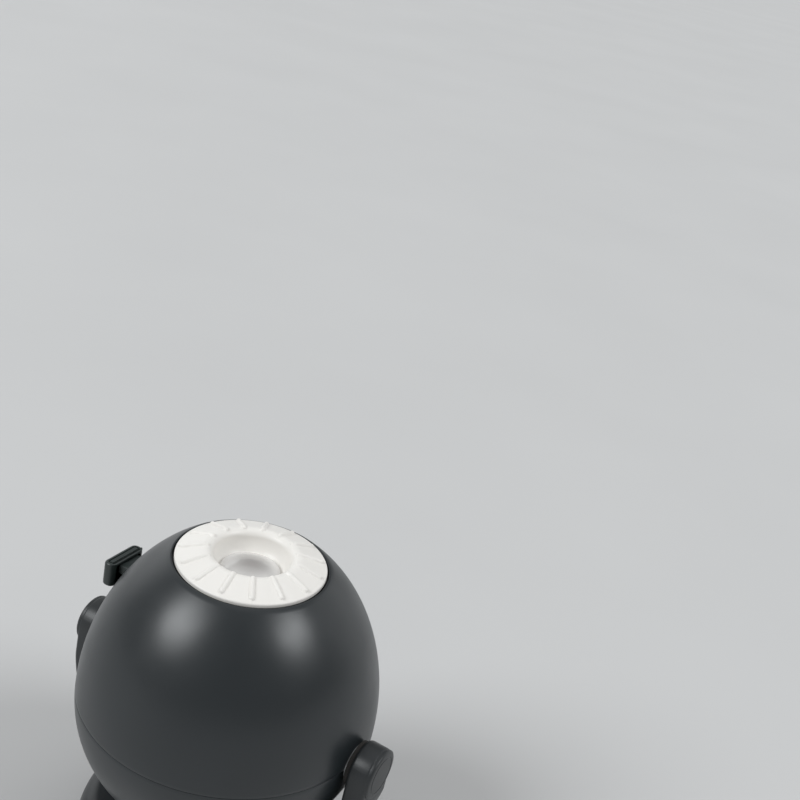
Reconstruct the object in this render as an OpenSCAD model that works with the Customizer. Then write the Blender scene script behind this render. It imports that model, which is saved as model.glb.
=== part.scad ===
// Table-top planetarium projector: an egg-shaped head that tilts in a U-shaped stand.
// A ribbed ring on the crown turns to focus, and a tray on the left side holds the star disc.
// Origin: centre of the footprint on the table. +Z is up, -Y is the front, +X is the right side.

/* [Head] */
// Largest radius of the egg-shaped head
body_r = 73.7; // [70:0.1:76]
// Height of the egg's crown curve above the tilt axis
crown_h = 88.9; // [86:0.1:92]
// Depth of the egg's lower curve below the tilt axis
keel_h = 68; // [64:0.5:72]
// Thickness of the moulded shells
wall = 2.4; // [2:0.1:3]
// Height of the tilt axis above the table
pivot_z = 92; // [92:1:100]
// Height of the focus ring's lower rim above the tilt axis
ring_z = 76; // [76:0.5:77]

/* [Focus ring] */
// Outer radius of the white focus ring
ring_r = 36; // [36:0.1:36.5]
// Radius of the mouth of the ring's bowl
lip_r = 19.9; // [19:0.1:20.5]
// Height of the mouth above the ring's lower rim
lip_h = 5.3; // [5:0.1:6]
// Radius of the highest line of the sloping face
crest_r = 23; // [22.5:0.1:24]
// Height of that line above the lower rim
crest_h = 6.5; // [6.2:0.1:7.5]
// Number of raised grip ribs
rib_count = 15; // [9:1:18]
// Width of a grip rib
rib_w = 2.6; // [2:0.1:3]
// How far a rib stands proud of the face
rib_proud = 1; // [0.6:0.1:1.2]
// Direction of the first rib, in degrees from +X
rib_phase = 17; // [0:1:24]

/* [Lens] */
// Outer radius of the lens barrel
barrel_r = 14.3; // [14:0.1:14.4]
// Radius of the front lens's seat in the barrel
front_lens_r = 13.2; // [12.5:0.1:13.4]
// Height of the front lens's rim, which caps the barrel
front_rim = 1.9; // [1.4:0.1:2]
// Height of the front lens's dome
front_dome = 3.1; // [2.4:0.1:3.1]

/* [Star disc and tray] */
// Number of teeth round the star disc
disc_teeth = 48; // [48:16:48]
// Number of teeth on the drive pinion
pinion_teeth = 16; // [16:1:16]
// Pitch of the teeth, as pitch diameter per tooth
tooth_module = 0.9; // [0.9:0.1:0.9]
// Radius of the star picture
film_r = 17.2; // [15:0.1:17.5]
// Half of the tray's width
tray_half_w = 26.2; // [26:0.1:26.4]
// How far the tray's grip tab reaches from the tilt axis
tab_reach = 76.4; // [75.6:0.1:77]
// Thickness of the tab's upright grip
tab_t = 6.8; // [6:0.1:6.8]
// Half of the grip's width
tab_half_w = 12; // [10:0.5:14]

/* [Stand] */
// Radius of the hollow between the two arms
yoke_gap_r = 77.5; // [77:0.1:79]
// Thickness of an arm
arm_t = 11; // [10:0.5:12]
// Half of an arm's width at the tilt axis
arm_end_r = 12.5; // [12:0.1:12.5]
// Half of an arm's width where it meets the base
arm_foot_half = 20; // [16:0.5:22]
// Radius of the base
base_r = 66; // [64:1:70]
// Height of the base's flat top above the table
base_top = 22; // [20:0.5:22]
// Height of the rubber feet
foot_h = 2; // [2:0.5:3]

/* [Hidden] */
$fn = 96;
eps = 0.01;
run_gap = 0.06;
free_gap = 0.4;

// Foot of the focus ring's skirt, measured from the ring's lower rim
skirt_bottom = -23;

// Levels inside the head, measured from the tilt axis
deck_top = ring_z - 2.6;
deck_t = 2.4;
plate_top = 36.5;
plate_t = 2;
rail_top = 47;
guide_t = 2;
tray_bottom = 38.6;
tray_top = 43;
tray_floor = 1;
disc_bottom = tray_bottom + tray_floor + 0.3;
disc_t = 2.4;
slot_low = 37.6;
slot_high = 45.8;
slot_half = 27;
tab_foot = 32.6;
tab_neck_half = 7;

// Radii of the parts under the focus ring
recess_r = ring_r + 1;
skirt_out = 24;
skirt_in = 22;
bush_r = 26.5;
bush_flange_r = 30;
carrier_r = skirt_in - run_gap;
post_mid_r = 18.5;
post_w = 4;
post_d = 3;

// Star disc gear train
disc_pitch_r = disc_teeth * tooth_module / 2;
pinion_pitch_r = pinion_teeth * tooth_module / 2;
gear_centre = disc_pitch_r + pinion_pitch_r;
shoulder_r = 19.4;
pocket_r = disc_pitch_r + 1.4;
tray_end = 16;
shaft_r = 1;

// Optics and drive under the disc
holder_in = 17;
holder_out = 19.5;
motor_r = 8.5;

// Battery compartment
cell_r = 7.1;
cell_len = 50.5;
cell_y = 31.4;
cell_top = -8.9;
cell_pitch = 14.6;
box_half_x = 31.2;
box_y0 = 23;
box_y1 = 39;
box_low = -46.6;
box_wall = 1.2;
door_half_x = 28.6;
door_low = -45.4;
door_high = -2;
ledge = 1.5;
ledge_depth = wall + 0.3;

// Control panel on the back
panel_z = 24;
panel_r = 18;
panel_floor_y = 65;
panel_back_y = 62.6;
board_y = 52.4;
board_t = 1.6;
button_x = 7.5;
button_r = 5;

// Tilt joint
trunnion_r = 7;
stem_r = 9;
pad_x = 69.3;
arm_in_x = 76.2;
arm_out_x = 87;
arm_recess_x = 83.5;

shell_screw_at = [[48, 30], [-48, 30], [-48, -30], [48, -30]];
chassis_screw_at = [[38, 38], [-38, 38], [-38, -38], [38, -38]];
base_screw_at = [for (a = [45:90:315]) 53.7 * [cos(a), sin(a)]];
foot_at = [for (a = [0:90:270]) 53 * [cos(a), sin(a)]];

// ---------------------------------------------------------------- shared forms

// Places its children in the head's own frame, whose origin is the middle of the tilt axis.
module in_head() {
    translate([0, 0, pivot_z]) children();
}

// Places its children in the focus ring's frame, whose origin is the middle of its lower rim.
module in_ring() {
    translate([0, 0, pivot_z + ring_z]) children();
}

// Turns a form that stands along Z so that it points along +X or +Y.
module along_x() {
    rotate([0, 90, 0]) children();
}

module along_y() {
    rotate([-90, 0, 0]) children();
}

// Flat washer or short tube.
module tube(outer, inner, h) {
    difference() {
        cylinder(r = outer, h = h);
        translate([0, 0, -1]) cylinder(r = inner, h = h + 2);
    }
}

// Screw that points along +Z, with its head below the origin.
module screw(shank_r, shank_len, head_r, head_h) {
    cylinder(r = shank_r, h = shank_len);
    translate([0, 0, -head_h]) cylinder(r = head_r, h = head_h);
}

// Solid egg of the head, drawn in by the given depth.
module egg(inset) {
    a = body_r - inset;
    rotate_extrude() polygon([
        for (t = [-90:4.5:90]) [a * cos(t), ((t < 0 ? keel_h : crown_h) - inset) * sin(t)]
    ]);
}

// Keeps only the part of its children that lies inside the shell wall.
module inside_wall() {
    intersection() {
        egg(wall / 2);
        children();
    }
}

// Outline of a gear whose teeth are thinned so that a pair runs with backlash.
module gear_outline(teeth, phase) {
    pitch = teeth * tooth_module / 2;
    step = 360 / teeth;
    polygon([
        for (i = [0:teeth - 1])
            for (p = [[-0.31, -1.25], [-0.2, 0], [-0.1, 0.85], [0.1, 0.85], [0.2, 0], [0.31, -1.25]])
                let (a = phase + (i + p[0]) * step, r = pitch + p[1] * tooth_module)
                    r * [cos(a), sin(a)]
    ]);
}

// Lens of a flat rim and a domed middle, rim from z = 0 to rim_h, dome on top.
module domed_lens(r, rim_h, dome_r, dome_h) {
    ball = (dome_r * dome_r + dome_h * dome_h) / (2 * dome_h);
    cylinder(r = r, h = rim_h);
    translate([0, 0, rim_h - eps]) intersection() {
        cylinder(r = dome_r, h = dome_h + 1);
        translate([0, 0, dome_h + eps - ball]) sphere(r = ball);
    }
}

// ---------------------------------------------------------------- stand

module base_shell() {
    color("#3c4143") difference() {
        rotate_extrude() polygon(concat(
            [[0, foot_h], [base_r, foot_h], [base_r, foot_h + 3]],
            [for (t = [0:15:90]) [base_r - 10 + 10 * cos(t), foot_h + 3 + (base_top - foot_h - 3) * sin(t)]],
            [[0, base_top]]
        ));
        in_head() sphere(r = yoke_gap_r, $fn = 160);
        translate([0, 0, foot_h - 1]) cylinder(r = base_r - 4, h = 3);
        difference() {
            rotate_extrude() polygon([
                [0, foot_h + 2 - eps], [base_r - 6, foot_h + 2 - eps], [base_r - 6, 9],
                [base_r - 11, base_top - 2.5], [0, base_top - 2.5]
            ]);
            in_head() sphere(r = yoke_gap_r + 2.5, $fn = 160);
            for (p = base_screw_at) translate([p[0], p[1], foot_h]) cylinder(r = 4, h = base_top);
        }
        base_screw_set();
        arm_screw_set();
    }
}

module base_plate() {
    color("#303335") difference() {
        translate([0, 0, foot_h]) cylinder(r = base_r - 4, h = 2);
        base_screw_set();
    }
}

module ballast_weight() {
    color("#8a8d90") translate([0, 0, foot_h + 2]) cylinder(r = 45, h = 5.5);
}

module rubber_feet() {
    color("#1c1c1c") for (p = foot_at) translate([p[0], p[1], 0]) cylinder(r = 6, h = foot_h);
}

module base_screw_set() {
    for (p = base_screw_at) translate([p[0], p[1], foot_h + 1.2]) screw(1.4, 10.8, 2.8, 1.2);
}

module base_screws() {
    color("#9a9c9e") base_screw_set();
}

module arm_screw_set() {
    for (x = [-48, 48]) for (y = [-11, 11])
        translate([x, y, base_top - 2.5]) screw(1.5, 9.5, 3, 2);
}

module arm_screws() {
    color("#9a9c9e") arm_screw_set();
}

// Side view of an arm: a round end at the tilt axis, flaring towards the base.
module arm_outline() {
    drop = pivot_z - base_top;
    function half_w(s) = arm_end_r + (arm_foot_half - arm_end_r) * s * s;
    circle(r = arm_end_r);
    polygon(concat(
        [for (s = [0:0.125:1]) [half_w(s), -drop * s]],
        [for (s = [1:-0.125:0]) [-half_w(s), -drop * s]]
    ));
}

module yoke_arm() {
    outer = yoke_gap_r + arm_t;
    color("#3c4143") difference() {
        in_head() union() {
            intersection() {
                rotate([90, 0, 0]) translate([0, 0, -30]) difference() {
                    cylinder(r = outer, h = 60, $fn = 160);
                    translate([0, 0, -1]) cylinder(r = yoke_gap_r, h = 62, $fn = 160);
                }
                rotate([90, 0, 90]) linear_extrude(arm_out_x) arm_outline();
            }
            translate([arm_in_x, 0, 0]) along_x() cylinder(r = arm_end_r, h = arm_out_x - arm_in_x);
        }
        in_head() along_x() cylinder(r = trunnion_r + run_gap, h = arm_out_x);
        in_head() translate([arm_recess_x, 0, 0]) along_x() cylinder(r = 10.5, h = 8);
        arm_screw_set();
    }
}

module yoke_arm_right() {
    yoke_arm();
}

module yoke_arm_left() {
    mirror([1, 0, 0]) yoke_arm();
}

module friction_washers() {
    color("#2a2a2a") for (m = [0, 1]) mirror([m, 0, 0])
        in_head() translate([arm_in_x - 1.9, 0, 0]) along_x() tube(11, trunnion_r + 0.3, 1.9);
}

module arm_cap() {
    color("#34383a") in_head() translate([arm_out_x, 0, 0]) along_x() {
        cylinder(r = arm_end_r - 0.2, h = 0.9);
        translate([0, 0, 0.9 - eps]) cylinder(r1 = arm_end_r - 0.2, r2 = arm_end_r - 1.4, h = 0.7);
        translate([0, 0, -1.4]) tube(10.5, 8.8, 1.4 + eps);
    }
}

module arm_cap_right() {
    arm_cap();
}

module arm_cap_left() {
    mirror([1, 0, 0]) arm_cap();
}

// ---------------------------------------------------------------- head shells

module shell_screw_set() {
    for (p = shell_screw_at) translate([p[0], p[1], -8]) screw(1.5, 20, 3, 2.5);
}

module chassis_screw_set() {
    for (p = chassis_screw_at) translate([p[0], p[1], plate_top - plate_t]) screw(1.3, 11, 2.6, 1.8);
}

module trunnion_holes() {
    translate([-80, 0, 0]) along_x() cylinder(r = stem_r, h = 160);
}

module trunnion_pads() {
    for (m = [0, 1]) mirror([m, 0, 0])
        translate([pad_x, 0, 0]) along_x() cylinder(r = 13, h = 6);
}

// Crown of the head, down to the widest level.
module upper_shell() {
    color("#4b5052") in_head() difference() {
        union() {
            intersection() {
                difference() {
                    egg(0);
                    egg(wall);
                }
                cylinder(r = body_r + 1, h = ring_z);
            }
            inside_wall() translate([0, 0, deck_top - deck_t]) cylinder(r = 44, h = deck_t);
            inside_wall() intersection() {
                trunnion_pads();
                cylinder(r = body_r + 1, h = 20);
            }
            inside_wall() for (p = shell_screw_at) translate([p[0], p[1], 0]) {
                cylinder(r = 3.8, h = 16);
                rotate([0, 0, atan2(p[1], p[0])]) translate([0, -1, 0]) cube([20, 2, 16]);
            }
            inside_wall() for (p = chassis_screw_at)
                translate([p[0], p[1], plate_top]) cylinder(r = 4, h = 30);
        }
        translate([0, 0, deck_top]) cylinder(r = recess_r, h = 10);
        translate([0, 0, deck_top - 5]) cylinder(r = bush_r, h = 10);
        translate([-body_r - 5, -slot_half, slot_low]) cube([40, 2 * slot_half, slot_high - slot_low]);
        translate([0, 50, panel_z]) along_y() cylinder(r = panel_r, h = 30);
        trunnion_holes();
        shell_screw_set();
        chassis_screw_set();
    }
}

// Upright block that the battery door and its frame are cut from.
module door_block(half_x, low, high, y0) {
    translate([-half_x, y0, low]) cube([2 * half_x, 60, high - low]);
}

// Bowl of the head, below the widest level.
module lower_shell() {
    color("#4b5052") in_head() difference() {
        union() {
            intersection() {
                difference() {
                    egg(0);
                    egg(wall);
                }
                translate([0, 0, -keel_h - 1]) cylinder(r = body_r + 1, h = keel_h + 1);
            }
            inside_wall() intersection() {
                trunnion_pads();
                translate([0, 0, -20]) cylinder(r = body_r + 1, h = 20);
            }
            inside_wall() for (p = shell_screw_at) translate([p[0], p[1], -50]) cylinder(r = 4.8, h = 50);
            inside_wall() door_block(box_half_x, box_low, 0, box_y1);
        }
        difference() {
            door_block(door_half_x, door_low, door_high, box_y1 - 1);
            egg(ledge_depth);
        }
        door_block(door_half_x - ledge, door_low + ledge, door_high - ledge, box_y1 - 1);
        trunnion_holes();
        shell_screw_set();
        for (p = shell_screw_at) translate([p[0], p[1], -60]) cylinder(r = 3.2, h = 50);
    }
}

module shell_screws() {
    color("#9a9c9e") in_head() shell_screw_set();
}

// ---------------------------------------------------------------- tilt joint

module trunnion() {
    color("#c9cbcc") in_head() difference() {
        union() {
            translate([pad_x - 3.3, 0, 0]) along_x() cylinder(r = 11, h = 3.3);
            translate([pad_x - eps, 0, 0]) along_x() cylinder(r = stem_r, h = 74 - pad_x + eps);
            translate([74 - eps, 0, 0]) along_x() cylinder(r = trunnion_r, h = arm_recess_x + 0.3 - 74 + eps);
        }
        pivot_screw();
    }
}

module trunnion_right() {
    trunnion();
}

module trunnion_left() {
    mirror([1, 0, 0]) trunnion();
}

module pivot_washers() {
    color("#b9bbbd") for (m = [0, 1]) mirror([m, 0, 0])
        in_head() translate([arm_recess_x + 0.3, 0, 0]) along_x() tube(9.8, 2, 1.2);
}

module pivot_screw() {
    translate([arm_recess_x + 1.5, 0, 0]) mirror([1, 0, 0]) along_x() screw(2, 12, 4, 1.5);
}

module pivot_screws() {
    color("#9a9c9e") for (m = [0, 1]) mirror([m, 0, 0]) in_head() pivot_screw();
}

// ---------------------------------------------------------------- chassis and optics

module ring_bush() {
    color("#202122") in_head() difference() {
        union() {
            translate([0, 0, deck_top - 7.4]) cylinder(r = bush_r, h = 7.4);
            translate([0, 0, deck_top]) cylinder(r = bush_flange_r, h = 1.2);
        }
        translate([0, 0, deck_top - 20]) cylinder(r = skirt_out + run_gap, h = 30);
    }
}

module guide_posts(grow) {
    for (a = [90:120:330]) rotate([0, 0, a])
        translate([post_mid_r - post_d / 2 - grow, -post_w / 2 - grow, 0])
            cube([post_d + 2 * grow, post_w + 2 * grow, 15]);
}

module lens_guide() {
    color("#2b2d2f") in_head() difference() {
        union() {
            translate([-32, -30, rail_top]) cube([64, 60, guide_t]);
            translate([0, 0, rail_top + guide_t - eps]) cylinder(r = 16.4, h = 3.5);
            translate([0, 0, rail_top + guide_t - eps]) guide_posts(0);
        }
        translate([0, 0, rail_top - 1]) cylinder(r = barrel_r + run_gap, h = 20);
    }
}

module tray_rails() {
    side = tray_half_w + 0.3;
    color("#2b2d2f") in_head() for (m = [0, 1]) mirror([0, m, 0])
        rotate([90, 0, 90]) translate([0, 0, -46]) linear_extrude(78) polygon([
            [22, plate_top], [30, plate_top], [30, rail_top], [22, rail_top],
            [22, tray_top + 0.3], [side, tray_top + 0.3],
            [side, tray_bottom - 0.3], [22, tray_bottom - 0.3]
        ]);
}

module chassis_plate() {
    color("#2b2d2f") in_head() difference() {
        translate([0, 0, plate_top - plate_t]) cylinder(r = 60, h = plate_t);
        translate([-70, 46, plate_top - 5]) cube([140, 40, 10]);
        translate([0, 0, plate_top - 5]) cylinder(r = holder_in - 1, h = 10);
        translate([gear_centre, 0, plate_top - 5]) cylinder(r = 3, h = 10);
        chassis_screw_set();
    }
}

module chassis_screws() {
    color("#9a9c9e") in_head() chassis_screw_set();
}

module condenser_holder() {
    top = plate_top - plate_t;
    color("#3a3c3e") in_head() difference() {
        translate([0, 0, 22]) cylinder(r = holder_out, h = top - 22);
        translate([0, 0, 24]) cylinder(r = holder_in, h = 20);
        translate([0, 0, 20]) cylinder(r = 15, h = 10);
    }
}

module condenser_lens() {
    color([0.85, 0.9, 0.92, 0.6]) in_head() translate([0, 0, 24]) domed_lens(holder_in, 2.5, 15, 5);
}

module light_reflector() {
    color("#d5d7d8") in_head() rotate_extrude() polygon([
        [4.5, 2.6], [11, 2.6], [11, 4.2], [6.5, 4.2], [16.2, 20.2], [holder_out, 20.2],
        [holder_out, 22], [15, 22]
    ]);
}

module led_lamp() {
    color("#f1efe2") in_head() translate([0, 0, 2.6]) {
        translate([-2.5, -2.5, 0]) cube([5, 5, 1.2]);
        translate([0, 0, 1.2 - eps]) domed_lens(2.2, 0.4, 2, 1.2);
    }
}

module led_board() {
    color("#e8e8e4") in_head() translate([0, 0, 1]) cylinder(r = 14, h = 1.6);
}

module heat_sink() {
    color("#b4b6b8") in_head() {
        translate([0, 0, -2]) cylinder(r = 14, h = 3);
        intersection() {
            translate([0, 0, -14]) cylinder(r = 14, h = 12 + eps);
            for (x = [-12:4:12]) translate([x - 0.7, -14, -14]) cube([1.4, 28, 13]);
        }
    }
}

module drive_motor() {
    top = plate_top - plate_t;
    color("#aeb0b2") in_head() translate([gear_centre, 0, 0]) difference() {
        union() {
            translate([0, 0, 12]) cylinder(r = motor_r, h = top - 14);
            translate([0, 0, top - 2 - eps]) cylinder(r = 5, h = 2 + eps);
            translate([0, 0, 10]) cylinder(r = 3, h = 2 + eps);
        }
        translate([0, 0, 18]) cylinder(r = shaft_r + run_gap, h = 30);
    }
}

// ---------------------------------------------------------------- controls and power

module button_axes() {
    for (x = [-button_x, button_x]) translate([x, 0, panel_z]) children();
}

module control_panel() {
    color("#2f3234") in_head() difference() {
        intersection() {
            egg(0);
            translate([0, panel_back_y, panel_z]) along_y() cylinder(r = panel_r, h = 30);
        }
        translate([0, panel_floor_y, panel_z]) along_y() cylinder(r = panel_r - 1.6, h = 30);
        button_axes() translate([0, 50, 0]) along_y() cylinder(r = button_r + run_gap, h = 20);
    }
    color("#2f3234") in_head() for (z = [-13, 13])
        translate([0, board_y + board_t, panel_z + z]) along_y()
            cylinder(r = 2, h = panel_back_y - board_y - board_t + eps);
}

module button() {
    in_head() translate([0, 0, panel_z]) along_y() {
        translate([0, 0, panel_back_y - 1.4]) cylinder(r = 6.2, h = 1.1);
        translate([0, 0, panel_back_y - 0.4]) cylinder(r = button_r, h = 5.2);
        translate([0, 0, panel_back_y + 4.8 - eps]) cylinder(r1 = button_r, r2 = button_r - 0.6, h = 0.6);
    }
}

module power_button() {
    color("#c8423a") translate([-button_x, 0, 0]) button();
}

module timer_button() {
    color("#dcdedf") translate([button_x, 0, 0]) button();
}

module switch_bodies() {
    color("#111213") in_head() button_axes() {
        translate([-3, board_y + board_t, -3]) cube([6, 3.4, 6]);
        translate([0, board_y + board_t + 3.4 - eps, 0]) along_y() cylinder(r = 1.7, h = 1 + eps);
    }
}

module control_board() {
    color("#2d6b45") in_head() translate([-16, board_y, panel_z - 16]) cube([32, board_t, 26]);
    color("#2d6b45") in_head() translate([-3, board_y, panel_z + 10 - eps]) cube([6, board_t, 6]);
}

module battery_box() {
    color("#2b2d2f") in_head() difference() {
        translate([-box_half_x, box_y0, box_low]) cube([2 * box_half_x, box_y1 - box_y0, -box_low]);
        translate([-box_half_x + box_wall, box_y0 + box_wall, box_low + box_wall])
            cube([2 * (box_half_x - box_wall), 20, -box_low - 2 * box_wall]);
    }
}

module cell_rows() {
    for (i = [0:2]) translate([0, cell_y, cell_top - i * cell_pitch]) mirror([i % 2, 0, 0]) children();
}

// Each cell has its flat end towards -X and its raised cap towards +X.
module battery_cells() {
    color("#6d7479") in_head() cell_rows() {
        translate([-cell_len / 2, 0, 0]) along_x() cylinder(r = cell_r, h = cell_len - 1.4);
        translate([cell_len / 2 - 1.4 - eps, 0, 0]) along_x() cylinder(r = 2.75, h = 1.4 + eps);
    }
}

// Conical spring between the wall plate and the flat end of each cell.
module contact_springs() {
    start = -box_half_x + box_wall + 0.4;
    color("#c4c6c8") in_head() cell_rows()
        translate([start, 0, 0]) along_x() cylinder(r1 = 4.5, r2 = 2.6, h = -cell_len / 2 - start);
}

module contact_plates() {
    inner = box_half_x - box_wall;
    color("#c4c6c8") in_head() cell_rows() {
        translate([-inner, -5.5, -5.5]) cube([0.4, 11, 11]);
        translate([inner - 0.4, -5.5, -5.5]) cube([0.4, 11, 11]);
        translate([cell_len / 2, -2, -2]) cube([inner - 0.4 - cell_len / 2 + eps, 4, 4]);
    }
}

// ---------------------------------------------------------------- focus ring and lens

// Section of the ring: thin outer rim, sloping face, rounded lip and the bowl down to the lens.
function ring_section() = concat(
    [[ring_r - 1.4, -0.8], [ring_r, -0.8], [ring_r, 1.1], [ring_r - 0.3, 1.5], [ring_r - 1.8, 2.1]],
    [for (t = [60:-20:0]) [crest_r + 1.2 * sin(t) - 0.2, crest_h - 1.2 + 1.2 * cos(t)]],
    [for (t = [20:20:80]) [lip_r + 1.6 - 1.6 * sin(t), lip_h - 0.3 + 1.5 * cos(t)]],
    [for (t = [0:15:90]) [14.6 + (lip_r - 14.6) * cos(t), lip_h - 0.6 - (lip_h + 4.6) * sin(t)]],
    [
        [14.6, -6.6], [17, -6.6], [20.4, -1], [skirt_in, 2], [skirt_in, skirt_bottom],
        [skirt_out, skirt_bottom], [skirt_out, 3.6], [ring_r - 2, 0]
    ]
);

module grip_rib() {
    inner = [crest_r + 1.2, crest_h - 0.6];
    outer = [33.1, 2.5];
    run = outer - inner;
    sink = rib_w / 2 - rib_proud;
    translate([inner[0], 0, inner[1] - sink]) rotate([0, 90 - atan2(run[1], run[0]), 0]) {
        cylinder(r = rib_w / 2, h = norm(run), $fn = 32);
        sphere(r = rib_w / 2, $fn = 32);
        translate([0, 0, norm(run)]) sphere(r = rib_w / 2, $fn = 32);
    }
}

module focus_ring() {
    color("#f2f0ec") in_ring() {
        rotate_extrude() polygon(ring_section());
        for (i = [0:rib_count - 1]) rotate([0, 0, rib_phase + i * 360 / rib_count]) grip_rib();
    }
}

module ring_clip() {
    color("#8f9295") in_ring() translate([0, 0, -11.6]) tube(27.2, skirt_out, 1.2);
}

module lens_barrel() {
    color("#1d1e1f") in_ring() difference() {
        union() {
            translate([0, 0, -27.5]) cylinder(r = barrel_r, h = 22);
            translate([0, 0, -20]) cylinder(r = carrier_r, h = 4);
        }
        translate([0, 0, -28]) cylinder(r = 12.6, h = 6.5);
        translate([0, 0, -22]) cylinder(r = 11.2, h = 20);
        translate([0, 0, -8.8]) cylinder(r = front_lens_r, h = 10);
        for (a = [90:120:330]) rotate([0, 0, a])
            translate([post_mid_r - post_d / 2 - 0.4, -post_w / 2 - 0.3, -21])
                cube([10, post_w + 0.6, 6]);
    }
}

module front_lens() {
    color([0.75, 0.8, 0.84, 0.6]) in_ring() {
        translate([0, 0, -8.8]) cylinder(r = front_lens_r, h = 3.3 + eps);
        translate([0, 0, -5.5]) domed_lens(barrel_r, front_rim, barrel_r - 0.2, front_dome);
    }
}

module rear_lens() {
    color([0.75, 0.8, 0.84, 0.6]) in_ring() translate([0, 0, -21.5]) mirror([0, 0, 1])
        domed_lens(12.6, 1.5, 10.8, 3);
}

module lens_retainer() {
    color("#35383a") in_ring() translate([0, 0, -26.5]) tube(12.6, 11, 3.5);
}

// ---------------------------------------------------------------- disc tray and drive

// Upright grip of the tab seen from above, drawn in by the given depth, so that one outline cuts
// its groove too.
module tab_outline(inset) {
    round_r = 3;
    side = tab_half_w - inset;
    translate([-tab_reach + tab_t / 2, 0]) {
        for (x = [-1, 1], y = [-1, 1])
            translate([x * (tab_t / 2 - round_r), y * (tab_half_w - round_r)]) circle(r = round_r - inset);
        square([tab_t - 2 * round_r, 2 * side], center = true);
        square([tab_t - 2 * inset, 2 * (tab_half_w - round_r)], center = true);
    }
}

module disc_tray() {
    color("#3f4a49") in_head() difference() {
        union() {
            intersection() {
                egg(1.2);
                translate([-70, -tray_half_w, tray_bottom])
                    cube([70 + tray_end, 2 * tray_half_w, tray_top - tray_bottom]);
            }
            intersection() {
                difference() {
                    egg(0);
                    egg(wall + 1.1);
                }
                translate([-80, -slot_half + free_gap, slot_low + free_gap])
                    cube([40, 2 * (slot_half - free_gap), slot_high - slot_low - 2 * free_gap]);
            }
            translate([0, 0, tab_foot]) linear_extrude(slot_high - free_gap - tab_foot) tab_outline(0);
            difference() {
                translate([-tab_reach + tab_t / 2, -tab_neck_half, slot_low + 2])
                    cube([16, 2 * tab_neck_half, slot_high - slot_low - 4]);
                egg(wall);
            }
        }
        translate([0, 0, tray_bottom + tray_floor]) cylinder(r = pocket_r, h = 10);
        translate([0, 0, tray_bottom - 1]) cylinder(r = shoulder_r + run_gap, h = 10);
        translate([0, 0, slot_high - free_gap - 0.8]) linear_extrude(2) difference() {
            tab_outline(1.8);
            tab_outline(2.5);
        }
    }
}

module star_disc() {
    color("#26292c") in_head() difference() {
        union() {
            translate([0, 0, disc_bottom]) linear_extrude(disc_t) gear_outline(disc_teeth, 180 / disc_teeth);
            translate([0, 0, tray_bottom]) cylinder(r = shoulder_r, h = 2);
        }
        translate([0, 0, tray_bottom - 1]) cylinder(r = film_r, h = 10);
    }
}

module star_film() {
    color("#0b1030") in_head() translate([0, 0, disc_bottom + 0.9]) cylinder(r = film_r, h = 0.6);
}

module drive_pinion() {
    color("#e6e2d6") in_head() translate([gear_centre, 0, disc_bottom - 0.2]) linear_extrude(disc_t + 0.4)
        difference() {
            gear_outline(pinion_teeth, 0);
            circle(r = shaft_r);
        }
}

module motor_shaft() {
    color("#c9cbcc") in_head() translate([gear_centre, 0, 20]) cylinder(r = shaft_r, h = disc_bottom + 3.2 - 20);
}

module battery_door() {
    color("#4b5052") in_head() difference() {
        intersection() {
            difference() {
                egg(0);
                egg(wall);
            }
            door_block(door_half_x - free_gap, door_low + free_gap, door_high - free_gap, box_y1);
        }
        for (z = [-7:-3:-13]) translate([0, 80, z]) along_x()
            translate([0, 0, -8]) cylinder(r = 8, h = 16);
    }
}

base_shell();
base_plate();
ballast_weight();
rubber_feet();
base_screws();
yoke_arm_left();
yoke_arm_right();
arm_screws();
friction_washers();
arm_cap_left();
arm_cap_right();
upper_shell();
lower_shell();
shell_screws();
trunnion_left();
trunnion_right();
pivot_washers();
pivot_screws();
ring_bush();
lens_guide();
tray_rails();
chassis_plate();
chassis_screws();
condenser_holder();
condenser_lens();
light_reflector();
led_lamp();
led_board();
heat_sink();
drive_motor();
control_panel();
switch_bodies();
control_board();
battery_box();
battery_cells();
contact_springs();
contact_plates();
focus_ring();
ring_clip();
lens_barrel();
front_lens();
rear_lens();
lens_retainer();
disc_tray();
star_disc();
star_film();
drive_pinion();
motor_shaft();
power_button();
timer_button();
battery_door();
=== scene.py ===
"""Looks of a table-top planetarium projector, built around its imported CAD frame."""

import math

import bmesh
import bpy
from mathutils import Matrix, Vector


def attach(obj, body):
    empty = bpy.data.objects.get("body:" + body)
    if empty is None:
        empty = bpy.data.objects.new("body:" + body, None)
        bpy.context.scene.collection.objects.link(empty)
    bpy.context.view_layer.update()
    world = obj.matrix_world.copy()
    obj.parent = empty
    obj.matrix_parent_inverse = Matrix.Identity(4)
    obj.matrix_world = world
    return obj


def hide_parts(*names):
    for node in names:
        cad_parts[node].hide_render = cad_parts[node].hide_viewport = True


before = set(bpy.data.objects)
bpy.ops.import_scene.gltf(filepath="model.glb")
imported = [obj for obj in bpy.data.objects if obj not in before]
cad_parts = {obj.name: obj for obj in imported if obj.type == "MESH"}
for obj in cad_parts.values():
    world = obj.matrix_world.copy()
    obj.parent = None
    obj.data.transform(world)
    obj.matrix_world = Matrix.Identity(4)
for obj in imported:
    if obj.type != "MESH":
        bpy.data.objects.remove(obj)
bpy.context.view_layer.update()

MM = 0.001
TURN = 2 * math.pi

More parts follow.
